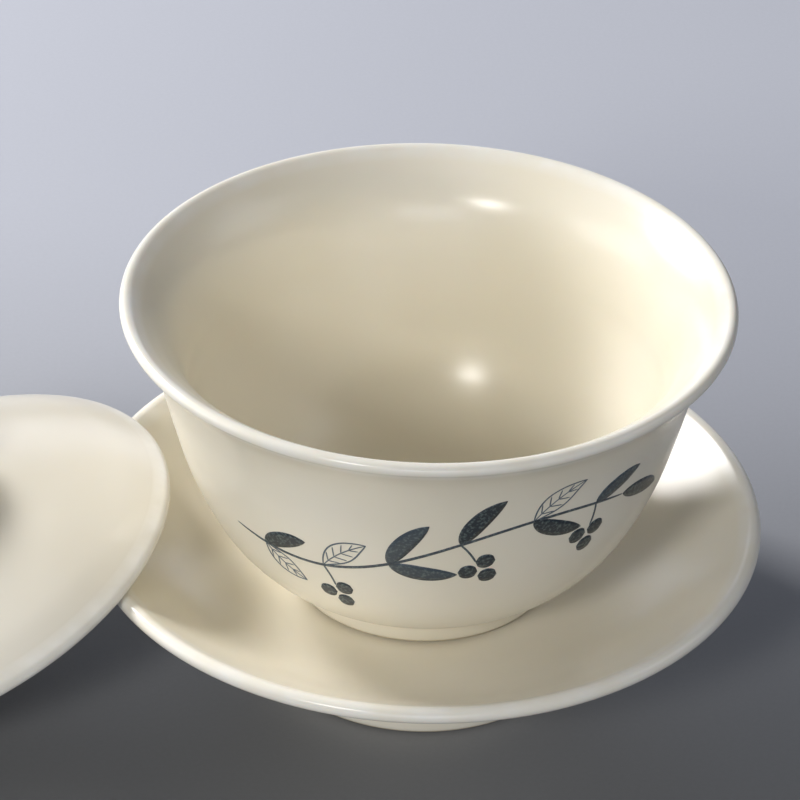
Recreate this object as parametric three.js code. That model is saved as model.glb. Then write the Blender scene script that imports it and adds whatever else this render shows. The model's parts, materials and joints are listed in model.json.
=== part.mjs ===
// A gaiwan: a saucer, a flared bowl standing in it, and a domed lid set down beside the bowl,
// leaning on the saucer's rim. Millimetres, +Z up. Each piece is turned about its own axis.
import * as THREE from 'three';

// Sizes shared by the three pieces
const SEGMENTS = 48;            // facets round each turned piece
const GAP = 0.3;                // between pieces that rest on each other
const LIP_STEPS = 5;            // facets over a rounded lip
const WALL_STEPS = 8;           // facets along a curved wall

const SAUCER = {
  rimRadius: 55.5, rimHeight: 25.6, lipRadius: 1.35,
  footRadius: 26.8, footWidth: 2.6, footHeight: 5.6,
  wellRadius: 22.5, wellHeight: 14.3, recessHeight: 9.8,
};
const BOWL = {
  rimRadius: 49, rimHeight: 51.9, lipRadius: 1.1,
  footRadius: 21.8, footWidth: 2.6, footHeight: 3.7, recessHeight: 2.2,
  floorHeight: 5.4,
};
const LID = {
  rimRadius: 44.5, lipRadius: 1.15, crownHeight: 12.2, thickness: 3,
  neckRadius: 12.2, knobRadius: 16.4, knobHeight: 10.6, knobLip: 1.2, cupDepth: 6,
};

// Where the lid lies: the centre of its rim, how far it leans, and which way it leans
const LID_CENTRE = [-83, -5.8, 16];
const LID_LEAN = THREE.MathUtils.degToRad(19.9);
const LID_TURN = THREE.MathUtils.degToRad(4);

const IVORY = 0xeee6d4;
const IVORY_SHADE = 0xe9dfca;
const IVORY_LIGHT = 0xf0e9da;

// Profile points are [radius, height] pairs
const point = ([radius, height]) => new THREE.Vector2(radius, height);

// A smooth stretch of profile through a few points
function sweep(points, steps = WALL_STEPS) {
  return new THREE.SplineCurve(points.map(point)).getPoints(steps);
}

// A rounded edge, from one angle to another, in degrees from the outward direction
function rounded(radius, height, size, from, to, steps = LIP_STEPS) {
  return Array.from({ length: steps + 1 }, (_, i) => {
    const angle = THREE.MathUtils.degToRad(from + ((to - from) * i) / steps);
    return point([radius + size * Math.cos(angle), height + size * Math.sin(angle)]);
  });
}

// A solid turned about Z from a profile that starts and ends on the axis, bottom first
function turned(profile) {
  const clean = profile.filter((p, i) => i === 0 || p.distanceTo(profile[i - 1]) > 0.02);
  return new THREE.LatheGeometry(clean, SEGMENTS).rotateX(Math.PI / 2);
}

function piece(name, profile, color, roughness) {
  const glaze = new THREE.MeshStandardMaterial({ color, roughness, metalness: 0 });
  const mesh = new THREE.Mesh(turned(profile), glaze);
  mesh.name = name;
  return mesh;
}

// The foot ring under a piece: recess roof, ring, and the outside of the ring
function footRing({ footRadius, footWidth, footHeight, recessHeight }, lean) {
  const inner = footRadius - footWidth;
  return [
    [0, recessHeight],
    [inner - recessHeight / 3, recessHeight],
    [inner, 0.6],
    [inner + 0.6, 0],
    [footRadius - 0.6, 0],
    [footRadius, 0.6],
    [footRadius + lean, footHeight],
  ].map(point);
}

// A shallow dish on a foot ring, with a level well for the bowl and a gently flared rim
function saucer() {
  const { rimRadius, rimHeight, lipRadius, footRadius, footHeight } = SAUCER;
  const { wellRadius, wellHeight } = SAUCER;
  const lipCentre = rimRadius - lipRadius;
  const profile = [
    ...footRing(SAUCER, 0.5),
    ...sweep([
      [footRadius + 1.2, footHeight + 0.7], [35, 10.6], [43, 16.1], [49, 21],
      [lipCentre + 0.6, rimHeight - 1.2],
    ]),
    ...rounded(lipCentre, rimHeight, lipRadius, -50, 115),
    ...sweep([
      [52.1, 25.75], [46.5, 21.95], [40, 18.2], [33, 15.6], [27, 14.5], [wellRadius, wellHeight],
    ]),
    point([0, wellHeight]),
  ];
  return piece('saucer', profile, IVORY_SHADE, 0.3);
}

// A deep round-bottomed bowl with a flared lip; its height 0 is the foot it stands on
function bowl() {
  const { rimRadius, rimHeight, lipRadius, footRadius, footHeight, floorHeight } = BOWL;
  const lipCentre = rimRadius - lipRadius;
  const profile = [
    ...footRing(BOWL, 0.5),
    ...sweep([
      [footRadius + 1.1, footHeight + 0.2], [25.8, 6.1], [29.9, 9.4], [34.5, 15.4], [38.6, 24.4],
      [41.2, 33.4], [43.2, 41.4], [45.6, 47.1], [lipCentre + 0.4, rimHeight - 1],
    ], WALL_STEPS + 5),
    ...rounded(lipCentre, rimHeight, lipRadius, -50, 120),
    ...sweep([
      [45.3, 51.3], [43, 49.1], [40.9, 46.2], [39.4, 42.4], [38.4, 37.8], [37.6, 33],
      [35.4, 25], [31.2, 16.4], [24.4, 9.2], [15, floorHeight + 0.6], [7, floorHeight],
    ], WALL_STEPS + 8),
    point([0, floorHeight]),
  ];
  const mesh = piece('bowl', profile, IVORY, 0.28);
  mesh.position.z = SAUCER.wellHeight + GAP;
  return mesh;
}

// A domed lid with a hollow underside and a ring-shaped knob; its height 0 is the rim's mid-line
function lid() {
  const { rimRadius, lipRadius, crownHeight, thickness } = LID;
  const { neckRadius, knobRadius, knobHeight, knobLip, cupDepth } = LID;
  const lipCentre = rimRadius - lipRadius;
  const knobTop = crownHeight + knobHeight;
  const profile = [
    point([0, crownHeight - thickness]),
    ...sweep([
      [9, crownHeight - thickness - 0.3], [22, 7.2], [33, 3.9], [39.5, 1],
      [lipCentre - 0.9, -0.8],
    ], WALL_STEPS - 2),
    ...rounded(lipCentre, 0, lipRadius, -110, 55),
    ...sweep([
      [42.6, 2.1], [38, 4.9], [30, 8.2], [20, 10.9], [neckRadius + 2.2, crownHeight],
    ], WALL_STEPS - 2),
    ...sweep([
      [neckRadius, crownHeight + 1.4], [neckRadius + 0.6, crownHeight + 4.4],
      [knobRadius - 0.5, knobTop - knobLip - 0.4],
    ], 4),
    ...rounded(knobRadius - knobLip, knobTop - knobLip, knobLip, 0, 170, 5),
    ...sweep([
      [knobRadius - 3.6, knobTop - 2.6], [9, knobTop - cupDepth + 0.7],
      [5.5, knobTop - cupDepth],
    ], 4),
    point([0, knobTop - cupDepth]),
  ];
  const mesh = piece('lid', profile, IVORY_LIGHT, 0.32);
  mesh.position.set(...LID_CENTRE);
  mesh.rotation.set(0, -LID_LEAN, LID_TURN, 'ZYX');
  return mesh;
}

// The set stands with the middle of its footprint at the origin
const group = new THREE.Group();
group.add(saucer(), bowl(), lid());
group.updateMatrixWorld(true);
const middle = new THREE.Box3().setFromObject(group, true).getCenter(new THREE.Vector3());
group.position.set(-middle.x, -middle.y, 0);

export default group;
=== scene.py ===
"""A gaiwan in glazed ivory porcelain: a saucer, a flared bowl with a brushed spray, and its lid.

Every body is turned from an outline about its own axis, and the painted spray is laid on the
bowl's wall stroke by stroke. Outlines are in millimetres; everything else is in metres.
"""

import json
import logging
import math
from dataclasses import dataclass, field
from enum import Enum
from typing import Any, Sequence

import bmesh
import bpy
from mathutils import Matrix, Vector


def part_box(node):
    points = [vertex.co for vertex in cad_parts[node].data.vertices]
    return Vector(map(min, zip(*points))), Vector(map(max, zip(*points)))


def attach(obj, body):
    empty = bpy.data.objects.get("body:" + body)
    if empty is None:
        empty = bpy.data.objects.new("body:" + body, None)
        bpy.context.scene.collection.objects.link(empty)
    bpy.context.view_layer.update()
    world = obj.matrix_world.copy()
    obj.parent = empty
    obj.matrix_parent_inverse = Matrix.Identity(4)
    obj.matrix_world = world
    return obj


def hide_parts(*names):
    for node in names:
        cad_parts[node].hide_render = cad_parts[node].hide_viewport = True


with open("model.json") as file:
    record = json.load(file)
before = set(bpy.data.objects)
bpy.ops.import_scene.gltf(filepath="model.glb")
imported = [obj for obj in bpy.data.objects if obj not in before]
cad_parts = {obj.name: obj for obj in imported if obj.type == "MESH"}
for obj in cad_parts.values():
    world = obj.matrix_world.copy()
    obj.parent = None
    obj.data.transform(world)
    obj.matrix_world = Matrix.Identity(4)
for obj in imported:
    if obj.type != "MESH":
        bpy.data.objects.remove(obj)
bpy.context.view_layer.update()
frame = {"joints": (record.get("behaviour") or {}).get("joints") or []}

LOG = logging.getLogger("gaiwan")
MM = 0.001
Pair = tuple[float, float]

# Node kinds and settings that several finishes and rules use
SUM = "ShaderNodeMath"
NOISE = "ShaderNodeTexNoise"
MIX = "ShaderNodeMix"
SPAN = "ShaderNodeMapRange"
VECTOR = "ShaderNodeVectorMath"
COLOURS = {"data_type": "RGBA"}
SOFT_ENDS = {"interpolation_type": "SMOOTHSTEP"}
TIMES = {"operation": "MULTIPLY"}
OVER = {"operation": "DIVIDE"}
PLUS = {"operation": "ADD"}
MINUS = {"operation": "SUBTRACT"}
SCALED = {"operation": "SCALE"}
POWER = {"operation": "POWER"}
AT_LEAST = {"operation": "MAXIMUM"}
COSINE = {"operation": "COSINE"}
SINE = {"operation": "SINE"}


def linear(hex_colour: str) -> tuple[float, float, float, float]:
    """Turns an sRGB hex colour into a linear one.

    Args:
        hex_colour: six hex digits after a hash.

    Returns:
        Red, green, blue and alpha, 0 to 1, scene linear.
    """
    parts = [int(hex_colour[i : i + 2], 16) / 255 for i in (1, 3, 5)]
    curve = [c / 12.92 if c <= 0.04045 else ((c + 0.055) / 1.055) ** 2.4 for c in parts]
    return (curve[0], curve[1], curve[2], 1.0)


def add_node(
    tree: bpy.types.NodeTree,
    kind: str,
    settings: dict[str, Any] | None = None,
    inputs: dict[str | int, Any] | None = None,
) -> bpy.types.Node:
    """Adds one node with its settings, values and links.

    Args:
        tree: the tree it goes in.
        kind: the node's type name.
        settings: properties of the node itself.
        inputs: for each input socket, a value, the output socket that feeds it, or a node
            whose first output feeds it.

    Returns:
        The new node.
    """
    node = tree.nodes.new(kind)
    for name, value in (settings or {}).items():
        setattr(node, name, value)
    for key, value in (inputs or {}).items():
        if isinstance(value, bpy.types.Node):
            value = value.outputs[0]
        if isinstance(value, bpy.types.NodeSocket):
            tree.links.new(value, node.inputs[key])
        else:
            node.inputs[key].default_value = value
    return node


def keep(obj: bpy.types.Object, modifier: bpy.types.Modifier) -> bpy.types.Mesh:
    """Works out what a Geometry Nodes modifier makes and removes the helper object.

    Args:
        obj: the helper that carries the modifier.
        modifier: the modifier, which is removed.

    Returns:
        The finished plain mesh.
    """
    graph = bpy.context.evaluated_depsgraph_get()
    graph.update()
    mesh = bpy.data.meshes.new_from_object(obj.evaluated_get(graph))
    finishes = [m for m in mesh.materials if m]
    mesh.materials.clear()
    for finish in finishes:
        mesh.materials.append(finish)
    mesh.polygons.foreach_set("material_index", [0] * len(mesh.polygons))
    obj.modifiers.remove(modifier)
    source = obj.data
    bpy.data.objects.remove(obj)
    bpy.data.meshes.remove(source)
    return mesh


def face_outwards(mesh: bpy.types.Mesh) -> None:
    """Points every face of a closed mesh outwards.

    Args:
        mesh: the mesh, which is changed.
    """
    work = bmesh.new()
    work.from_mesh(mesh)
    bmesh.ops.recalc_face_normals(work, faces=work.faces)
    work.to_mesh(mesh)
    work.free()


def line_object(
    name: str,
    runs: Sequence[Sequence[Sequence[float]]],
    marks: dict[str, Sequence[float]],
) -> bpy.types.Object:
    """Makes a helper mesh of open lines whose points carry named numbers.

    Args:
        name: the helper's name.
        runs: each line's points, in metres.
        marks: for each name, one number for every point, in order.

    Returns:
        The helper object.
    """
    mesh = bpy.data.meshes.new(name)
    points = [p for run in runs for p in run]
    edges: list[tuple[int, int]] = []
    start = 0
    for run in runs:
        edges += [(i, i + 1) for i in range(start, start + len(run) - 1)]
        start += len(run)
    mesh.from_pydata(points, edges, [])
    for mark, values in marks.items():
        mesh.attributes.new(mark, "FLOAT", "POINT").data.foreach_set("value", list(values))
    obj = bpy.data.objects.new(name, mesh)
    bpy.context.scene.collection.objects.link(obj)
    return obj


def set_input(modifier: bpy.types.NodesModifier, name: str, value: Any) -> None:
    """Sets one named input of a Geometry Nodes modifier by its socket's identifier."""
    for item in modifier.node_group.interface.items_tree:
        if item.name == name and item.in_out == "INPUT":
            modifier[item.identifier] = value


# ---------------------------------------------------------------- finishes


class Mark(Enum):
    """Numbers that a turned body's points carry for its glaze."""

    LIP = "lip"
    FOOT = "foot"


@dataclass(frozen=True)
class IvoryGlaze:
    """Fired porcelain under a satin ivory glaze, with a bare foot.

    The glaze gives a warm cream with soft broad highlights. It runs thin over a lip, where the
    paler clay shows through, and the lip is painted paler still as a painted highlight for the rim's
    glints. The glaze is wiped off the ring that the piece is fired on.
    """

    name: str
    body: str = "#ebe4d1"
    pale: str = "#eee8d8"
    # Paler glaze at a lip, which is also a painted highlight for the rim's glints
    lip: str = "#f3f1ea"
    clay: str = "#cfc3a9"
    speck: str = "#5d5348"
    roughness: float = 0.222
    cloud_mm: float = 38.0
    ripple_mm: float = 5.0
    grain_mm: float = 0.55
    speck_mm: float = 15.0
    drift_mm: float = 6.0
    satin_mm: float = 14.0
    satin_range: float = 0.04
    dryness: float = 0.4

    def material(self) -> bpy.types.Material:
        """Builds the glaze.

        Returns:
            The material.
        """
        material = bpy.data.materials.new(self.name)
        material.use_nodes = True
        tree = material.node_tree
        tree.nodes.clear()
        place = add_node(tree, "ShaderNodeTexCoord").outputs["Object"]
        colour = self._colour(tree, place)
        shader = add_node(
            tree,
            "ShaderNodeBsdfPrincipled",
            {"subsurface_method": "RANDOM_WALK"},
            {
                "Base Color": colour,
                "Roughness": self._roughness(tree, place),
                "IOR": 1.5,
                "Subsurface Weight": 0.12,
                "Subsurface Radius": (1.0, 0.72, 0.45),
                "Subsurface Scale": 1.6 * MM,
                "Normal": self._surface(tree, place),
            },
        )
        add_node(tree, "ShaderNodeOutputMaterial", inputs={"Surface": shader.outputs[0]})
        return material

    def _colour(
        self, tree: bpy.types.NodeTree, place: bpy.types.NodeSocket
    ) -> bpy.types.NodeSocket:
        """Cloudy cream, paler at the lip for thin glaze and a painted highlight, bare at the foot, with a
        rare iron speck.

        Args:
            tree: the glaze's tree.
            place: the piece's own coordinates.

        Returns:
            The colour.
        """
        broad = add_node(
            tree, NOISE, None, {"Vector": place, "Scale": 1 / (self.cloud_mm * MM), "Detail": 2.0}
        )
        clouds = add_node(tree, SPAN, SOFT_ENDS, {"Value": broad, "From Min": 0.35, "From Max": 0.65})
        cream = add_node(
            tree, MIX, COLOURS, {0: clouds, 6: linear(self.body), 7: linear(self.pale)}
        ).outputs[2]
        # Painted highlight: the lip is made paler for the rim's glints as well as for thin glaze
        lip = add_node(tree, "ShaderNodeAttribute", {"attribute_name": Mark.LIP.value})
        patches = add_node(
            tree, NOISE, None, {"Vector": place, "Scale": 1 / (self.drift_mm * MM), "Detail": 3.0}
        )
        drift = add_node(tree, SPAN, SOFT_ENDS, {"Value": patches, "From Min": 0.2, "From Max": 0.8})
        most = add_node(tree, SUM, TIMES, {0: lip.outputs["Fac"], 1: 0.9})
        uneven = add_node(tree, SUM, TIMES, {0: most, 1: add_node(tree, SUM, PLUS, {0: drift, 1: 0.5})})
        thin = add_node(tree, SUM, {"operation": "MINIMUM"}, {0: uneven, 1: 1.0})
        cream = add_node(tree, MIX, COLOURS, {0: thin, 6: cream, 7: linear(self.lip)}).outputs[2]
        specks = self._specks(tree, place)
        cream = add_node(tree, MIX, COLOURS, {0: specks, 6: cream, 7: linear(self.speck)}).outputs[2]
        bare = self._bare(tree)
        return add_node(tree, MIX, COLOURS, {0: bare, 6: cream, 7: linear(self.clay)}).outputs[2]

    def _bare(self, tree: bpy.types.NodeTree) -> bpy.types.Node:
        """Shows where the glaze was wiped off.

        Args:
            tree: the glaze's tree.

        Returns:
            The node whose first output is 1 on bare clay.
        """
        foot = add_node(tree, "ShaderNodeAttribute", {"attribute_name": Mark.FOOT.value})
        edge = {"Value": foot.outputs["Fac"], "From Min": 0.45, "From Max": 0.55}
        return add_node(tree, SPAN, SOFT_ENDS, edge)

    def _specks(self, tree: bpy.types.NodeTree, place: bpy.types.NodeSocket) -> bpy.types.Node:
        """Iron specks a few tenths of a millimetre across, in one cell out of twelve.

        Args:
            tree: the glaze's tree.
            place: the piece's own coordinates.

        Returns:
            The node whose first output is how much iron shows.
        """
        cells = add_node(
            tree, "ShaderNodeTexVoronoi", None, {"Vector": place, "Scale": 1 / (self.speck_mm * MM)}
        )
        near = add_node(tree, SPAN, SOFT_ENDS, {"Value": cells, "From Min": 0.02, "From Max": 0.008})
        chance = add_node(tree, "ShaderNodeSeparateColor", None, {0: cells.outputs["Color"]})
        chosen = add_node(tree, SUM, {"operation": "GREATER_THAN"}, {0: chance, 1: 0.92})
        return add_node(tree, SUM, TIMES, {0: near, 1: add_node(tree, SUM, TIMES, {0: chosen, 1: 0.75})})

    def _roughness(self, tree: bpy.types.NodeTree, place: bpy.types.NodeSocket) -> bpy.types.Node:
        """Satin that varies a little, and a dry bare foot.

        Args:
            tree: the glaze's tree.
            place: the piece's own coordinates.

        Returns:
            The node whose first output is the roughness.
        """
        cloud = add_node(
            tree, NOISE, None, {"Vector": place, "Scale": 1 / (self.satin_mm * MM), "Detail": 3.0}
        )
        varied = add_node(tree, SUM, TIMES, {0: cloud, 1: self.satin_range})
        satin = add_node(tree, SUM, PLUS, {0: varied, 1: self.roughness})
        dry = add_node(tree, SUM, TIMES, {0: self._bare(tree), 1: self.dryness})
        return add_node(tree, SUM, PLUS, {0: satin, 1: dry})

    def _surface(self, tree: bpy.types.NodeTree, place: bpy.types.NodeSocket) -> bpy.types.Node:
        """Slow ripples where the glaze ran, and a fine grain of healed pinholes.

        Args:
            tree: the glaze's tree.
            place: the piece's own coordinates.

        Returns:
            The node whose first output is the normal.
        """
        normal = None
        layers = ((self.ripple_mm, 0.12, 0.1), (self.grain_mm, 0.06, 0.02))
        for size_mm, strength, height_mm in layers:
            height = add_node(
                tree, NOISE, None, {"Vector": place, "Scale": 1 / (size_mm * MM), "Detail": 2.0}
            )
            given = {"Strength": strength, "Distance": height_mm * MM, "Height": height}
            if normal:
                given["Normal"] = normal
            normal = add_node(tree, "ShaderNodeBump", None, given)
        return normal


@dataclass(frozen=True)
class BrushedInk:
    """Iron-blue pigment brushed on and fired under the same glaze.

    A loaded brush leaves a near-black wash that breaks into fine pale grains; a dry one leaves
    a thin grey-blue line.
    """

    name: str = "brushed_iron_pigment"
    loaded: str = "#262f38"
    worn: str = "#5f6c6b"
    thin: str = "#5c6a75"
    roughness: float = 0.34
    grain_mm: float = 0.5

    def material(self) -> bpy.types.Material:
        """Builds the pigment.

        Returns:
            The material.
        """
        material = bpy.data.materials.new(self.name)
        material.use_nodes = True
        tree = material.node_tree
        tree.nodes.clear()
        place = add_node(tree, "ShaderNodeTexCoord").outputs["Object"]
        grain = add_node(
            tree,
            NOISE,
            inputs={"Vector": place, "Scale": 1 / (self.grain_mm * MM), "Detail": 3.0},
        )
        spread = add_node(
            tree,
            SPAN,
            SOFT_ENDS,
            {"Value": grain.outputs["Fac"], "From Min": 0.47, "From Max": 0.68},
        )
        wash = add_node(
            tree,
            MIX,
            COLOURS,
            {0: spread.outputs[0], 6: linear(self.loaded), 7: linear(self.worn)},
        )
        water = add_node(tree, "ShaderNodeAttribute", {"attribute_name": "water"})
        colour = add_node(
            tree,
            MIX,
            COLOURS,
            {0: water.outputs["Fac"], 6: wash.outputs[2], 7: linear(self.thin)},
        )
        shader = add_node(
            tree,
            "ShaderNodeBsdfPrincipled",
            inputs={"Base Color": colour.outputs[2], "Roughness": self.roughness, "IOR": 1.5},
        )
        add_node(tree, "ShaderNodeOutputMaterial", inputs={"Surface": shader.outputs[0]})
        return material


# ---------------------------------------------------------------- turned bodies


def sweep(points: Sequence[Pair], steps: int = 12) -> list[Pair]:
    """Draws a smooth line through a few points.

    Args:
        points: the points, in mm.
        steps: pieces between one point and the next.

    Returns:
        The line's points, both ends included.
    """
    line: list[Pair] = []
    last = len(points) - 1
    for i in range(last):
        before, here = points[max(i - 1, 0)], points[i]
        there, after = points[i + 1], points[min(i + 2, last)]
        for step in range(steps):
            t = step / steps
            spot = []
            for a, b, c, d in zip(before, here, there, after):
                pull, push = (c - a) / 2, (d - b) / 2
                cubic = (2 * b - 2 * c + pull + push) * t**3
                square = (3 * c - 3 * b - 2 * pull - push) * t**2
                spot.append(cubic + square + pull * t + b)
            line.append((spot[0], spot[1]))
    return line + [points[last]]


def rounded(centre: Pair, radius: float, start: float, end: float, steps: int = 16) -> list[Pair]:
    """Draws a round edge.

    Args:
        centre: its middle, in mm.
        radius: its radius, in mm.
        start: the first angle, in degrees up from straight out.
        end: the last angle.
        steps: pieces along it.

    Returns:
        The edge's points.
    """
    angles = [math.radians(start + (end - start) * i / steps) for i in range(steps + 1)]
    return [(centre[0] + radius * math.cos(a), centre[1] + radius * math.sin(a)) for a in angles]


def softened(outline: Sequence[Pair], spacing: float, rounds: int) -> list[Pair]:
    """Spaces an outline evenly and eases its corners, as a coat of glaze does.

    Args:
        outline: the points, in mm.
        spacing: the distance from one point to the next.
        rounds: how many times each point moves towards its neighbours.

    Returns:
        The eased outline, whose ends stay on the axis.
    """
    runs = [0.0]
    for a, b in zip(outline, outline[1:]):
        runs.append(runs[-1] + math.dist(a, b))
    count = round(runs[-1] / spacing)
    even: list[Pair] = []
    at = 0
    for i in range(count + 1):
        goal = runs[-1] * i / count
        while at < len(runs) - 2 and runs[at + 1] < goal:
            at += 1
        share = (goal - runs[at]) / max(runs[at + 1] - runs[at], 1e-9)
        a, b = outline[at], outline[at + 1]
        even.append((a[0] + (b[0] - a[0]) * share, a[1] + (b[1] - a[1]) * share))
    for _ in range(rounds):
        middle = [
            ((a[0] + 2 * b[0] + c[0]) / 4, (a[1] + 2 * b[1] + c[1]) / 4)
            for a, b, c in zip(even, even[1:], even[2:])
        ]
        even = [even[0], *middle, even[-1]]
    return even


def turned_body_tree() -> bpy.types.NodeTree:
    """Builds the rule that turns an outline about Z into a closed body.

    Returns:
        The Geometry Nodes tree, with inputs Outline, Facets around, Outline points and Glaze.
    """
    tree = bpy.data.node_groups.new("turned body", "GeometryNodeTree")
    sockets = [
        ("Outline", "INPUT", "NodeSocketGeometry"),
        ("Facets around", "INPUT", "NodeSocketInt"),
        ("Outline points", "INPUT", "NodeSocketInt"),
        ("Glaze", "INPUT", "NodeSocketMaterial"),
        ("Body", "OUTPUT", "NodeSocketGeometry"),
    ]
    for name, side, kind in sockets:
        tree.interface.new_socket(name, in_out=side, socket_type=kind)
    given = add_node(tree, "NodeGroupInput")
    facets, points = given.outputs["Facets around"], given.outputs["Outline points"]
    grid = add_node(
        tree,
        "GeometryNodeMeshGrid",
        inputs={"Vertices X": add_node(tree, SUM, PLUS, {0: facets, 1: 1.0}), "Vertices Y": points},
    )
    index = add_node(tree, "GeometryNodeInputIndex").outputs[0]
    row = add_node(tree, SUM, {"operation": "MODULO"}, {0: index, 1: points})
    whole = add_node(tree, SUM, OVER, {0: index, 1: points})
    column = add_node(tree, SUM, {"operation": "FLOOR"}, {0: whole})
    turned = add_node(tree, SUM, TIMES, {0: column, 1: math.tau})
    turn = add_node(tree, SUM, OVER, {0: turned, 1: facets})
    spot = add_node(tree, "GeometryNodeInputPosition").outputs[0]
    sample = add_node(
        tree,
        "GeometryNodeSampleIndex",
        {"data_type": "FLOAT_VECTOR", "domain": "POINT"},
        {"Geometry": given.outputs["Outline"], "Value": spot, "Index": row},
    )
    split = add_node(tree, "ShaderNodeSeparateXYZ", inputs={0: sample.outputs[0]})
    radius = split.outputs["X"]
    cosine = add_node(tree, SUM, COSINE, {0: turn})
    sine = add_node(tree, SUM, SINE, {0: turn})
    place = add_node(
        tree,
        "ShaderNodeCombineXYZ",
        inputs={
            "X": add_node(tree, SUM, TIMES, {0: radius, 1: cosine}),
            "Y": add_node(tree, SUM, TIMES, {0: radius, 1: sine}),
            "Z": split.outputs["Z"],
        },
    )
    shape = add_node(
        tree,
        "GeometryNodeSetPosition",
        inputs={"Geometry": grid.outputs["Mesh"], "Position": place.outputs[0]},
    ).outputs[0]
    for mark in Mark:
        named = add_node(
            tree, "GeometryNodeInputNamedAttribute", {"data_type": "FLOAT"}, {"Name": mark.value}
        )
        value = add_node(
            tree,
            "GeometryNodeSampleIndex",
            {"data_type": "FLOAT", "domain": "POINT"},
            {"Geometry": given.outputs["Outline"], "Value": named.outputs[0], "Index": row},
        )
        shape = add_node(
            tree,
            "GeometryNodeStoreNamedAttribute",
            {"data_type": "FLOAT", "domain": "POINT"},
            {"Geometry": shape, "Name": mark.value, "Value": value.outputs[0]},
        ).outputs[0]
    joined = add_node(
        tree, "GeometryNodeMergeByDistance", inputs={"Geometry": shape, "Distance": 0.002 * MM}
    )
    smooth = add_node(
        tree, "GeometryNodeSetShadeSmooth", inputs={"Geometry": joined.outputs[0]}
    )
    real = add_node(
        tree, "GeometryNodeRealizeInstances", inputs={"Geometry": smooth.outputs[0]}
    )
    glazed = add_node(
        tree,
        "GeometryNodeSetMaterial",
        inputs={"Geometry": real.outputs[0], "Material": given.outputs["Glaze"]},
    )
    add_node(tree, "NodeGroupOutput", inputs={"Body": glazed.outputs[0]})
    return tree


@dataclass
class TurnedPiece:
    """A body turned from an outline, which stands for one CAD node.

    Attributes:
        node: the CAD node, which is also its body.
        slot: the record's material slot; not used.
        glaze: its finish.
        axis: the way its axis points.
        facets: flat strips round it.
    """

    node: str
    slot: str
    glaze: IvoryGlaze
    axis: Vector = field(default_factory=lambda: Vector((0, 0, 1)))
    facets: int = 160

    def outline(self) -> list[Pair]:
        """Gives the outline, in mm, from the underside to the top."""
        raise NotImplementedError

    def lips(self) -> list[tuple[Pair, float]]:
        """Gives each edge where the glaze runs thin and a painted highlight is laid: its middle and its
        reach, in mm.
        """
        raise NotImplementedError

    def bare(self, radius: float, height: float) -> float:
        """Says how bare of glaze a point of the outline is, 0 or 1."""
        return 0.0

    def build(self, rule: bpy.types.NodeTree) -> bpy.types.Object:
        """Turns the outline, stands the piece where its CAD node is and hides that node.

        Args:
            rule: the tree of turned_body_tree().

        Returns:
            The finished piece.
        """
        outline = softened(self.outline(), 0.35, 2)
        marks = {
            Mark.LIP.value: [self._thin_glaze_and_glint(p) for p in outline],
            Mark.FOOT.value: [self.bare(r, h) for r, h in outline],
        }
        helper = line_object(
            f"{self.node}_outline", [[(r * MM, 0.0, h * MM) for r, h in outline]], marks
        )
        modifier = helper.modifiers.new("turn", "NODES")
        modifier.node_group = rule
        set_input(modifier, "Facets around", self.facets)
        set_input(modifier, "Outline points", len(outline))
        set_input(modifier, "Glaze", self.glaze.material())
        mesh = keep(helper, modifier)
        mesh.transform(self.axis.to_track_quat("Z", "Y").to_matrix().to_4x4())
        mesh.transform(self._shift(mesh))
        face_outwards(mesh)
        piece = bpy.data.objects.new(f"{self.node}_body", mesh)
        bpy.context.scene.collection.objects.link(piece)
        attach(piece, self.node)
        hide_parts(self.node)
        LOG.info("%s: %d faces", piece.name, len(mesh.polygons))
        return piece

    def _thin_glaze_and_glint(self, spot: Pair) -> float:
        """Says how thin the glaze is at a point of the outline, and how much painted highlight lies
        there, 0 to 1.
        """
        return max(
            max(0.0, 1.0 - math.dist(spot, centre) / reach) ** 0.7 for centre, reach in self.lips()
        )

    def _shift(self, mesh: bpy.types.Mesh) -> Matrix:
        """Finds the move that brings the mesh's box onto its CAD node's box."""
        low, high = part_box(self.node)
        corners = [v.co for v in mesh.vertices]
        middle = Vector([(min(c[i] for c in corners) + max(c[i] for c in corners)) / 2 for i in range(3)])
        return Matrix.Translation((low + high) / 2 - middle)


def foot_ring(radius: float, width: float, height: float, recess: float) -> list[Pair]:
    """Draws the underside of a piece on a foot ring, from the axis to the outside of the ring.

    Args:
        radius: the ring's outer radius, in mm.
        width: its wall.
        height: where it meets the body.
        recess: the height of the roof inside it.

    Returns:
        The outline's points.
    """
    inner = radius - width
    return [
        (0, recess),
        (inner - recess / 3, recess),
        (inner, 0.6),
        (inner + 0.6, 0),
        (radius - 0.6, 0),
        (radius, 0.6),
        (radius + 0.5, height),
    ]


@dataclass
class Saucer(TurnedPiece):
    """A shallow dish with a level well and a gently flared rim."""

    rim_radius: float = 55.5
    rim_height: float = 25.6
    lip_radius: float = 1.35
    foot_radius: float = 26.8
    foot_width: float = 2.6
    foot_height: float = 5.6
    recess: float = 9.8
    well_radius: float = 22.5
    well_height: float = 14.3

    def outline(self) -> list[Pair]:
        """Foot ring, underside, lip, dish and well.

        Returns:
            The outline's points, in mm.
        """
        lip = self.rim_radius - self.lip_radius
        under = [
            (self.foot_radius + 1.2, self.foot_height + 0.7), (35, 10.6), (43, 16.1), (49, 21),
            (lip + 0.6, self.rim_height - 1.2),
        ]
        dish = [
            (52.1, 25.75), (46.5, 21.95), (40, 18.2), (33, 15.6), (27, 14.5),
            (self.well_radius, self.well_height),
        ]
        ring = foot_ring(self.foot_radius, self.foot_width, self.foot_height, self.recess)
        edge = rounded((lip, self.rim_height), self.lip_radius, -50, 115)
        return [*ring, *sweep(under), *edge, *sweep(dish), (0, self.well_height)]

    def lips(self) -> list[tuple[Pair, float]]:
        """The rim."""
        return [((self.rim_radius - self.lip_radius, self.rim_height), 2.6)]

    def bare(self, radius: float, height: float) -> float:
        """The ring that it is fired on."""
        return float(height < 0.5)


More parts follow.
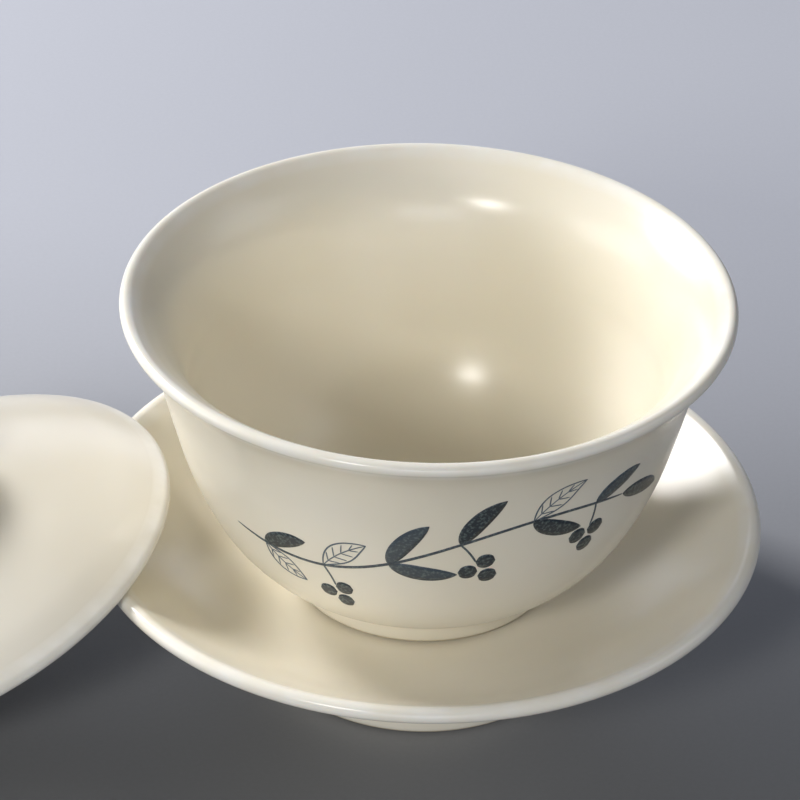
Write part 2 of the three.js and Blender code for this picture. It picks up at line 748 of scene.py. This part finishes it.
@dataclass
class Bowl(TurnedPiece):
    """A deep round-bottomed bowl with a flared lip."""

    rim_radius: float = 49.0
    rim_height: float = 51.9
    lip_radius: float = 1.1
    foot_radius: float = 21.8
    foot_width: float = 2.6
    foot_height: float = 3.7
    recess: float = 2.2
    floor_height: float = 5.4

    def outline(self) -> list[Pair]:
        """Foot ring, wall, lip, inside and floor.

        Returns:
            The outline's points, in mm.
        """
        lip = self.rim_radius - self.lip_radius
        wall = [
            (self.foot_radius + 1.1, self.foot_height + 0.2), (25.8, 6.1), (29.9, 9.4),
            (34.5, 15.4), (38.6, 24.4), (41.2, 33.4), (43.2, 41.4), (45.6, 47.1),
            (lip + 0.4, self.rim_height - 1),
        ]
        inside = [
            (45.3, 51.3), (43, 49.1), (40.9, 46.2), (39.4, 42.4), (38.4, 37.8), (37.6, 33),
            (35.4, 25), (31.2, 16.4), (24.4, 9.2), (15, self.floor_height + 0.6),
            (7, self.floor_height),
        ]
        ring = foot_ring(self.foot_radius, self.foot_width, self.foot_height, self.recess)
        edge = rounded((lip, self.rim_height), self.lip_radius, -50, 120)
        return [*ring, *sweep(wall), *edge, *sweep(inside), (0, self.floor_height)]

    def lips(self) -> list[tuple[Pair, float]]:
        """The rim."""
        return [((self.rim_radius - self.lip_radius, self.rim_height), 2.6)]

    def bare(self, radius: float, height: float) -> float:
        """The ring that it is fired on."""
        return float(height < 0.5 and radius > self.foot_radius - self.foot_width - 1)


@dataclass
class Lid(TurnedPiece):
    """A shallow dome with a ring-shaped knob."""

    rim_radius: float = 44.5
    lip_radius: float = 1.15
    crown: float = 12.2
    thickness: float = 3.0
    neck_radius: float = 12.2
    knob_radius: float = 16.4
    knob_height: float = 10.6
    knob_lip: float = 1.2
    cup_depth: float = 6.0

    def outline(self) -> list[Pair]:
        """Underside, rim, dome, neck, knob and the cup inside it.

        Returns:
            The outline's points, in mm.
        """
        lip = self.rim_radius - self.lip_radius
        top = self.crown + self.knob_height
        roof = self.crown - self.thickness
        under = [(9, roof - 0.3), (22, 7.2), (33, 3.9), (39.5, 1), (lip - 0.9, -0.8)]
        dome = [(42.6, 2.1), (38, 4.9), (30, 8.2), (20, 10.9), (self.neck_radius + 2.2, self.crown)]
        neck = [
            (self.neck_radius, self.crown + 1.4), (self.neck_radius + 0.6, self.crown + 4.4),
            (self.knob_radius - 0.5, top - self.knob_lip - 0.4),
        ]
        cup = [
            (self.knob_radius - 3.6, top - 2.6), (9, top - self.cup_depth + 0.7),
            (5.5, top - self.cup_depth),
        ]
        edge = rounded((lip, 0), self.lip_radius, -110, 55)
        knob = rounded(
            (self.knob_radius - self.knob_lip, top - self.knob_lip), self.knob_lip, 0, 170
        )
        return [
            (0, roof), *sweep(under), *edge, *sweep(dome), *sweep(neck), *knob, *sweep(cup),
            (0, top - self.cup_depth),
        ]

    def lips(self) -> list[tuple[Pair, float]]:
        """The rim and the top of the knob."""
        knob = (self.knob_radius - self.knob_lip, self.crown + self.knob_height - self.knob_lip)
        return [((self.rim_radius - self.lip_radius, 0), 2.6), (knob, 2.6)]


# ---------------------------------------------------------------- the painted spray


class Touch(Enum):
    """How the brush is pressed along a stroke: fullness, end shape and where it is widest."""

    LINE = (9.0, 0.5, 1.0)
    LEAF = (2.3, 0.8, 0.9)
    BERRY = (2.0, 0.5, 1.0)


@dataclass(frozen=True)
class Stroke:
    """One touch of the brush.

    Attributes:
        touch: how the brush is pressed.
        width: the stroke's greatest width, in mm.
        water: 0 for a loaded brush, 1 for a thin one.
        points: where it goes, in mm round the wall from the middle of the painted side and mm
            up from the foot.
    """

    touch: Touch
    width: float
    water: float
    points: tuple[Pair, ...]


def line(*points: Pair, width: float = 0.3, water: float = 0.4) -> Stroke:
    """A thin drawn line."""
    return Stroke(Touch.LINE, width, water, points)


def hair(*points: Pair) -> Stroke:
    """The thinnest line, for veins and hatching."""
    return Stroke(Touch.LINE, 0.2, 0.95, points)


def brush_tree() -> bpy.types.NodeTree:
    """Builds the rule that lays flat strokes on the bowl's wall.

    Returns:
        The Geometry Nodes tree.
    """
    tree = bpy.data.node_groups.new("brush strokes", "GeometryNodeTree")
    sockets = [
        ("Strokes", "INPUT", "NodeSocketGeometry"),
        ("Wall", "INPUT", "NodeSocketObject"),
        ("Axis", "INPUT", "NodeSocketVector"),
        ("Drawing radius", "INPUT", "NodeSocketFloat"),
        ("Step", "INPUT", "NodeSocketFloat"),
        ("Facets across", "INPUT", "NodeSocketInt"),
        ("Sink", "INPUT", "NodeSocketFloat"),
        ("Thickness", "INPUT", "NodeSocketFloat"),
        ("Pigment", "INPUT", "NodeSocketMaterial"),
        ("Paint", "OUTPUT", "NodeSocketGeometry"),
    ]
    for name, side, kind in sockets:
        tree.interface.new_socket(name, in_out=side, socket_type=kind)
    given = add_node(tree, "NodeGroupInput")
    flat = _flat_strokes(tree, given)
    laid = _laid_on_wall(tree, given, flat)
    flipped = add_node(tree, "GeometryNodeFlipFaces", inputs={"Mesh": laid})
    raised = add_node(
        tree,
        "GeometryNodeExtrudeMesh",
        {"mode": "FACES"},
        {"Mesh": laid, "Offset Scale": given.outputs["Thickness"], "Individual": False},
    )
    both = add_node(tree, "GeometryNodeJoinGeometry")
    tree.links.new(flipped.outputs[0], both.inputs[0])
    tree.links.new(raised.outputs[0], both.inputs[0])
    closed = add_node(
        tree,
        "GeometryNodeMergeByDistance",
        inputs={"Geometry": both.outputs[0], "Distance": 0.001 * MM},
    )
    real = add_node(tree, "GeometryNodeRealizeInstances", inputs={"Geometry": closed.outputs[0]})
    inked = add_node(
        tree,
        "GeometryNodeSetMaterial",
        inputs={"Geometry": real.outputs[0], "Material": given.outputs["Pigment"]},
    )
    add_node(tree, "NodeGroupOutput", inputs={"Paint": inked.outputs[0]})
    return tree


def _flat_strokes(
    tree: bpy.types.NodeTree, given: bpy.types.Node
) -> bpy.types.NodeSocket:
    """Makes each line a flat ribbon, pressed wide and thin as its touch says.

    Args:
        tree: the tree of the brush strokes.
        given: its input node.

    Returns:
        The ribbons.
    """
    curve = add_node(tree, "GeometryNodeMeshToCurve", inputs={"Mesh": given.outputs["Strokes"]})
    smooth = add_node(
        tree,
        "GeometryNodeCurveSplineType",
        {"spline_type": "CATMULL_ROM"},
        {"Curve": curve.outputs[0]},
    )
    even = add_node(
        tree,
        "GeometryNodeResampleCurve",
        inputs={"Curve": smooth.outputs[0]},
    )
    even.mode = "LENGTH"
    tree.links.new(given.outputs["Step"], even.inputs["Length"])
    marks = {}
    for name in ("half", "fullness", "ends", "lean"):
        node = add_node(
            tree, "GeometryNodeInputNamedAttribute", {"data_type": "FLOAT"}, {"Name": name}
        )
        marks[name] = node.outputs[0]
    along = add_node(tree, "GeometryNodeSplineParameter").outputs["Factor"]
    along = add_node(tree, SUM, POWER, {0: along, 1: marks["lean"]})
    # From -1 at the start of the stroke to 1 at its end
    across = add_node(tree, SUM, {"operation": "MULTIPLY_ADD"}, {0: along, 1: 2.0, 2: -1.0})
    away = add_node(tree, SUM, {"operation": "ABSOLUTE"}, {0: across})
    fading = add_node(tree, SUM, POWER, {0: away, 1: marks["fullness"]})
    press = add_node(tree, SUM, MINUS, {0: 1.0, 1: fading})
    press = add_node(tree, SUM, AT_LEAST, {0: press, 1: 0.0})
    press = add_node(tree, SUM, POWER, {0: press, 1: marks["ends"]})
    press = add_node(tree, SUM, TIMES, {0: press, 1: marks["half"]})
    press = add_node(tree, SUM, AT_LEAST, {0: press, 1: 1e-5})
    level = add_node(
        tree,
        "GeometryNodeSetCurveNormal",
        inputs={"Curve": even.outputs[0]},
    )
    level.mode = "Z_UP"
    tip = add_node(
        tree, "GeometryNodeCurvePrimitiveLine", inputs={"Start": (-1, 0, 0), "End": (1, 0, 0)}
    )
    bristles = add_node(
        tree,
        "GeometryNodeResampleCurve",
        inputs={"Curve": tip.outputs[0], "Count": given.outputs["Facets across"]},
    )
    ribbon = add_node(
        tree,
        "GeometryNodeCurveToMesh",
        inputs={"Curve": level.outputs[0], "Profile Curve": bristles.outputs[0], "Scale": press},
    )
    return ribbon.outputs[0]


def _laid_on_wall(
    tree: bpy.types.NodeTree, given: bpy.types.Node, flat: bpy.types.NodeSocket
) -> bpy.types.NodeSocket:
    """Wraps the flat ribbons round the axis and drops them on the wall.

    Args:
        tree: the tree of the brush strokes.
        given: its input node.
        flat: the ribbons.

    Returns:
        The ribbons on the wall.
    """
    spot = add_node(
        tree,
        "ShaderNodeSeparateXYZ",
        inputs={0: add_node(tree, "GeometryNodeInputPosition").outputs[0]},
    )
    round_wall = {0: spot.outputs["X"], 1: given.outputs["Drawing radius"]}
    turn = add_node(tree, SUM, OVER, round_wall)
    turn = add_node(tree, SUM, MINUS, {0: turn, 1: math.pi / 2})
    way = add_node(
        tree,
        "ShaderNodeCombineXYZ",
        inputs={
            "X": add_node(tree, SUM, COSINE, {0: turn}),
            "Y": add_node(tree, SUM, SINE, {0: turn}),
        },
    )
    out = add_node(
        tree, VECTOR, SCALED, {0: way.outputs[0], "Scale": 0.1}
    )
    lift = add_node(tree, "ShaderNodeCombineXYZ", inputs={"Z": spot.outputs["Y"]})
    start = add_node(
        tree, VECTOR, PLUS, {0: out.outputs[0], 1: lift.outputs[0]}
    )
    start = add_node(
        tree,
        VECTOR,
        PLUS,
        {0: start.outputs[0], 1: given.outputs["Axis"]},
    )
    inward = add_node(
        tree, VECTOR, SCALED, {0: way.outputs[0], "Scale": -1.0}
    )
    wall = add_node(
        tree, "GeometryNodeObjectInfo", inputs={"Object": given.outputs["Wall"]}
    )
    ray = add_node(
        tree,
        "GeometryNodeRaycast",
        inputs={
            "Target Geometry": wall.outputs["Geometry"],
            "Source Position": start.outputs[0],
            "Ray Direction": inward.outputs[0],
            "Ray Length": 0.1,
        },
    )
    sunk = add_node(
        tree,
        VECTOR,
        SCALED,
        {0: ray.outputs["Hit Normal"], "Scale": given.outputs["Sink"]},
    )
    place = add_node(
        tree,
        VECTOR,
        MINUS,
        {0: ray.outputs["Hit Position"], 1: sunk.outputs[0]},
    )
    laid = add_node(
        tree,
        "GeometryNodeSetPosition",
        inputs={"Geometry": flat, "Position": place.outputs[0]},
    )
    return laid.outputs[0]


@dataclass
class PaintedSpray:
    """A plain leafy spray with berries, brushed on the bowl's front.

    Attributes:
        bowl: the bowl it is painted on.
        drawing_radius: the wall radius for which the drawing's widths are true, in mm.
        reach: how far the stem runs to each side, in mm round the wall.
        middle: the height of the stem's middle above the foot, in mm.
        rise: how much higher its right end is than its middle, in mm.
        sway: how deep its bend is, in mm.
        stations: how many times it sends out leaves.
        outermost: how far along each half of the stem the last station is, 0 to 1.
        leaf_length: the longest leaf, in mm.
        leaf_width: the widest leaf, in mm.
        leaf_spread: the angle between a leaf and the stem, in degrees.
        berry: how wide a berry is, in mm.
        stalk: how long a berry stalk is, in mm.
        stalk_spread: the angle between a stalk and the stem, in degrees.
        ink: its finish.
    """

    bowl: bpy.types.Object
    drawing_radius: float = 40.0
    reach: float = 33.0
    middle: float = 31.0
    rise: float = 4.0
    sway: float = 3.5
    stations: int = 6
    outermost: float = 0.82
    leaf_length: float = 11.5
    leaf_width: float = 3.2
    leaf_spread: float = 48.0
    berry: float = 3.1
    stalk: float = 5.0
    stalk_spread: float = 72.0
    ink: BrushedInk = field(default_factory=BrushedInk)

    def station(self, number: int) -> float:
        """Where along the stem, -1 to 1, the given station is."""
        return self.outermost * (2 * number / (self.stations - 1) - 1)

    def stem_point(self, along: float) -> Vector:
        """Where the stem is, from -1 at its left end to 1 at its right end."""
        bend = self.sway * math.sin(math.pi * along)
        return Vector((self.reach * along, self.middle + self.rise * along + bend))

    def stem_way(self, along: float) -> float:
        """The stem's direction there, in radians."""
        ahead = self.stem_point(along + 0.01) - self.stem_point(along)
        return math.atan2(ahead.y, ahead.x)

    @staticmethod
    def bent_run(start: Vector, way: float, length: float, bend: float) -> list[Vector]:
        """Points along an evenly bent line.

        Args:
            start: its first point, in mm.
            way: the direction it sets out in, in radians.
            length: in mm.
            bend: how far it turns from start to end, in radians.

        Returns:
            Seven points.
        """
        steps = 6
        run = [start.copy()]
        for i in range(steps):
            turn = way + bend * (i + 0.5) / steps
            run.append(run[-1] + Vector((math.cos(turn), math.sin(turn))) * (length / steps))
        return run

    def stem(self) -> list[Stroke]:
        """The stem, with a leaf at its tip.

        Returns:
            Their strokes.
        """
        along = [-1 + 2 * i / 12 for i in range(13)]
        tip = self.bent_run(self.stem_point(1.0), self.stem_way(1.0), self.leaf_length, -0.3)
        return [
            line(*(tuple(self.stem_point(a)) for a in along), width=0.55, water=0.3),
            Stroke(Touch.LEAF, self.leaf_width, 0.0, tuple(tuple(p) for p in tip)),
        ]

    def veined_leaf(self, run: list[Vector]) -> list[Stroke]:
        """A pale leaf in outline, with its veins.

        Args:
            run: the points of its middle vein.

        Returns:
            Its strokes.
        """
        last = len(run) - 1
        edges = {}
        for side in (1, -1):
            edge = []
            for i, spot in enumerate(run):
                ahead = run[min(i + 1, last)] - run[max(i - 1, 0)]
                out = Vector((-ahead.y, ahead.x)).normalized() * side
                edge.append(spot + out * (0.62 * self.leaf_width * math.sin(math.pi * i / last)))
            edges[side] = edge
        outline = [line(*(tuple(p) for p in e), width=0.26, water=0.8) for e in edges.values()]
        veins = [
            hair(tuple(run[i]), tuple(run[i].lerp(edge[i + 1], 0.85)))
            for edge in edges.values()
            for i in range(1, last - 1)
        ]
        return [*outline, hair(*(tuple(p) for p in run)), *veins]

    def leaves(self) -> list[Stroke]:
        """Leaves to both sides: loaded, thin and outlined ones by turns.

        Returns:
            Their strokes.
        """
        strokes = []
        spread = math.radians(self.leaf_spread)
        for i in range(self.stations):
            along = self.station(i)
            for side in (1, -1):
                if side == -1 and i % 2:
                    continue
                way = self.stem_way(along) + side * spread
                length = self.leaf_length * (1 - 0.25 * abs(along))
                run = self.bent_run(self.stem_point(along), way, length, -0.5 * side)
                if (i + (side == -1)) % 3 == 1:
                    strokes += self.veined_leaf(run)
                else:
                    water = 0.3 if i % 3 == 2 else 0.0
                    points = tuple(tuple(p) for p in run)
                    strokes.append(Stroke(Touch.LEAF, self.leaf_width, water, points))
        return strokes

    def berries(self) -> list[Stroke]:
        """Threes of berries that hang where no leaf does.

        Returns:
            Their strokes.
        """
        strokes = []
        # Three berries this far from their middle don't touch each other
        apart = 0.64 * self.berry
        for i in range(1, self.stations, 2):
            along = self.station(i)
            way = self.stem_way(along) - math.radians(self.stalk_spread)
            run = self.bent_run(self.stem_point(along), way, self.stalk, -0.3)
            strokes.append(line(*(tuple(p) for p in run), width=0.34))
            middle = run[-1] + (run[-1] - run[-2]).normalized() * apart
            for turn in (way, way + math.tau / 3, way - math.tau / 3):
                centre = middle + Vector((math.cos(turn), math.sin(turn))) * apart
                ends = (centre.x - self.berry / 2, centre.x + self.berry / 2)
                points = ((ends[0], centre.y), tuple(centre), (ends[1], centre.y))
                strokes.append(Stroke(Touch.BERRY, self.berry, 0.0, points))
        return strokes

    def strokes(self) -> list[Stroke]:
        """The whole spray."""
        return [*self.stem(), *self.leaves(), *self.berries()]

    def build(self, rule: bpy.types.NodeTree) -> bpy.types.Object:
        """Lays the spray on the bowl.

        Args:
            rule: the tree of brush_tree().

        Returns:
            The finished paint.
        """
        strokes = self.strokes()
        runs = [[(x * MM, y * MM, 0.0) for x, y in s.points] for s in strokes]
        marks: dict[str, list[float]] = {
            name: [] for name in ("half", "fullness", "ends", "lean", "water")
        }
        for stroke in strokes:
            fullness, ends, lean = stroke.touch.value
            values = (stroke.width / 2 * MM, fullness, ends, lean, stroke.water)
            for name, value in zip(marks, values):
                marks[name] += [value] * len(stroke.points)
        helper = line_object("spray_lines", runs, marks)
        modifier = helper.modifiers.new("brush", "NODES")
        modifier.node_group = rule
        low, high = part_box("bowl")
        settings = {
            "Wall": self.bowl,
            "Axis": ((low.x + high.x) / 2, (low.y + high.y) / 2, low.z),
            "Drawing radius": self.drawing_radius * MM,
            "Step": 0.35 * MM,
            "Facets across": 5,
            "Sink": 0.02 * MM,
            "Thickness": 0.06 * MM,
            "Pigment": self.ink.material(),
        }
        for name, value in settings.items():
            set_input(modifier, name, value)
        mesh = keep(helper, modifier)
        face_outwards(mesh)
        paint = bpy.data.objects.new("painted_spray", mesh)
        bpy.context.scene.collection.objects.link(paint)
        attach(paint, "bowl")
        LOG.info("%s: %d strokes, %d faces", paint.name, len(strokes), len(mesh.polygons))
        return paint


# ---------------------------------------------------------------- the studio


@dataclass
class Studio:
    """The table, the lights and the camera.

    Attributes:
        bowl_axis: where the bowl's axis meets the table.
        elevation: the camera's height above the table, in degrees.
        roll: how far the camera leans, in degrees.
        distance: from the camera to the point it aims at, in metres.
        lens: its focal length, in mm.
    """

    bowl_axis: Vector
    elevation: float = 33.4
    roll: float = 1.4
    distance: float = 0.593
    lens: float = 165.6
    aim: tuple[float, float, float] = (-0.0042, 0.0, 0.0472)

    def camera(self) -> bpy.types.Object:
        """Sets up the camera, which looks along +Y and down.

        Returns:
            The camera.
        """
        rise, roll = math.radians(self.elevation), math.radians(self.roll)
        back = Vector((0, -math.cos(rise), math.sin(rise)))
        right, up = Vector((1, 0, 0)), Vector((0, math.sin(rise), math.cos(rise)))
        across = right * math.cos(roll) + up * math.sin(roll)
        upward = up * math.cos(roll) - right * math.sin(roll)
        data = bpy.data.cameras.new("camera")
        data.lens = self.lens
        data.sensor_width = 36.0
        data.clip_start = 0.01
        camera = bpy.data.objects.new("camera", data)
        place = Matrix((across, upward, back)).transposed().to_4x4()
        place.translation = self.bowl_axis + Vector(self.aim) + back * self.distance
        camera.matrix_world = place
        bpy.context.scene.collection.objects.link(camera)
        bpy.context.scene.camera = camera
        return camera

    def light(
        self, name: str, way: Sequence[float], distance: float, size: Pair, power: float, colour: str
    ) -> None:
        """Hangs one softbox that faces the bowl.

        Args:
            name: the light's name.
            way: the direction from the bowl to the light.
            distance: how far away it is, in metres.
            size: its width and height, in metres.
            power: in watts.
            colour: as an sRGB hex value.
        """
        data = bpy.data.lights.new(name, "AREA")
        data.shape = "RECTANGLE"
        data.size, data.size_y = size
        data.energy = power
        data.color = linear(colour)[:3]
        lamp = bpy.data.objects.new(name, data)
        towards = Vector(way).normalized()
        lamp.rotation_euler = towards.to_track_quat("Z", "Y").to_euler()
        lamp.location = self.bowl_axis + Vector((0, 0, 0.04)) + towards * distance
        bpy.context.scene.collection.objects.link(lamp)

    def lights(self) -> None:
        """Hangs the softboxes and sets the room's pale light."""
        self.light("key", (-0.66, 0.5, 0.56), 1.1, (0.34, 0.32), 12.0, "#fffdfb")
        self.light("left", (-1.0, -0.05, 0.35), 1.2, (0.8, 0.6), 4.2, "#fbfcff")
        self.light("low_back", (0.0, 1.0, 0.3), 1.4, (1.2, 0.4), 2.2, "#dce7ff")
        self.light("front_left", (-0.4, -0.8, 0.48), 1.2, (0.22, 0.22), 4.8, "#fffdf8")
        self.light("front", (0.0, -1.0, 0.18), 1.3, (0.7, 0.4), 3.2, "#eef3ff")
        self.light("right", (0.8, 0.0, 0.5), 1.3, (0.7, 0.6), 1.8, "#eef3ff")
        world = bpy.data.worlds.new("room")
        world.use_nodes = True
        background = world.node_tree.nodes["Background"]
        background.inputs["Color"].default_value = linear("#eceef4")
        background.inputs["Strength"].default_value = 0.1
        bpy.context.scene.world = world
        bpy.context.scene.view_settings.view_transform = "Standard"

    def table(self) -> None:
        """Lays the table top, whose paper is graded by painted reflection."""
        half, cells = 2.5, 20
        work = bmesh.new()
        bmesh.ops.create_grid(work, x_segments=cells, y_segments=cells, size=half)
        mesh = bpy.data.meshes.new("table_top")
        work.to_mesh(mesh)
        work.free()
        mesh.materials.append(self._table_paper())
        table = bpy.data.objects.new("table_top", mesh)
        bpy.context.scene.collection.objects.link(table)

    def _table_paper(self) -> bpy.types.Material:
        """Makes table paper with a painted reflection and painted fall-off of light: pale and bluish at
        the back, grey in front, with a faint fibre.

        Returns:
            The material.
        """
        material = bpy.data.materials.new("table_paper")
        material.use_nodes = True
        tree = material.node_tree
        tree.nodes.clear()
        place = add_node(tree, "ShaderNodeTexCoord").outputs["Object"]
        away = add_node(tree, "ShaderNodeSeparateXYZ", inputs={0: place}).outputs["Y"]
        # Painted reflection: the pale bluish back stands for a bright panel seen in the glossy top, and
        # the grey front for where the light falls off
        painted_reflection_fade = add_node(
            tree,
            SPAN,
            SOFT_ENDS,
            {"Value": away, "From Min": -0.07, "From Max": 0.15},
        )
        fibre = add_node(
            tree, NOISE, inputs={"Vector": place, "Scale": 1 / (0.8 * MM)}
        )
        near = add_node(
            tree,
            MIX,
            COLOURS,
            {0: fibre.outputs["Fac"], 6: linear("#747576"), 7: linear("#797a7c")},
        )
        far = add_node(
            tree,
            MIX,
            COLOURS,
            {0: fibre.outputs["Fac"], 6: linear("#b7bac4"), 7: linear("#bcbfc9")},
        )
        colour = add_node(
            tree,
            MIX,
            COLOURS,
            {0: painted_reflection_fade.outputs[0], 6: near.outputs[2], 7: far.outputs[2]},
        )
        shader = add_node(
            tree,
            "ShaderNodeBsdfPrincipled",
            inputs={"Base Color": colour.outputs[2], "Roughness": 0.5, "IOR": 1.45},
        )
        add_node(tree, "ShaderNodeOutputMaterial", inputs={"Surface": shader.outputs[0]})
        return material


def axis_of(joint_name: str) -> Vector:
    """Gives the direction that a joint's piece slides along.

    Args:
        joint_name: the joint's name.

    Returns:
        A direction of length 1.
    """
    found = next(j for j in frame["joints"] if j["name"] == joint_name)
    return Vector(found["axis"]).normalized()


def main() -> None:
    logging.basicConfig(level=logging.INFO, format="%(name)s: %(message)s")
    low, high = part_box("bowl")
    studio = Studio(Vector(((low.x + high.x) / 2, (low.y + high.y) / 2, 0.0)))
    studio.camera()
    rule = turned_body_tree()
    # Painted light: the saucer's glaze is a warmer copy of the bowl's, tinted for how the saucer is lit
    Saucer("saucer", "saucer_glaze", IvoryGlaze("ivory_glaze_saucer_painted_light", body="#ece4ce")).build(rule)
    bowl = Bowl("bowl", "bowl_glaze", IvoryGlaze("ivory_glaze_bowl")).build(rule)
    # Painted shade: the lid's glaze is a darker copy of the same ivory glaze, for the light the lid gets
    lid_glaze = IvoryGlaze("ivory_glaze_lid_painted_shade", body="#dbd5c6", pale="#dfdacd")
    Lid("lid", "lid_glaze", lid_glaze, axis=axis_of("lid_lift")).build(rule)
    PaintedSpray(bowl).build(brush_tree())
    studio.lights()
    studio.table()


if __name__ == "__main__":
    main()
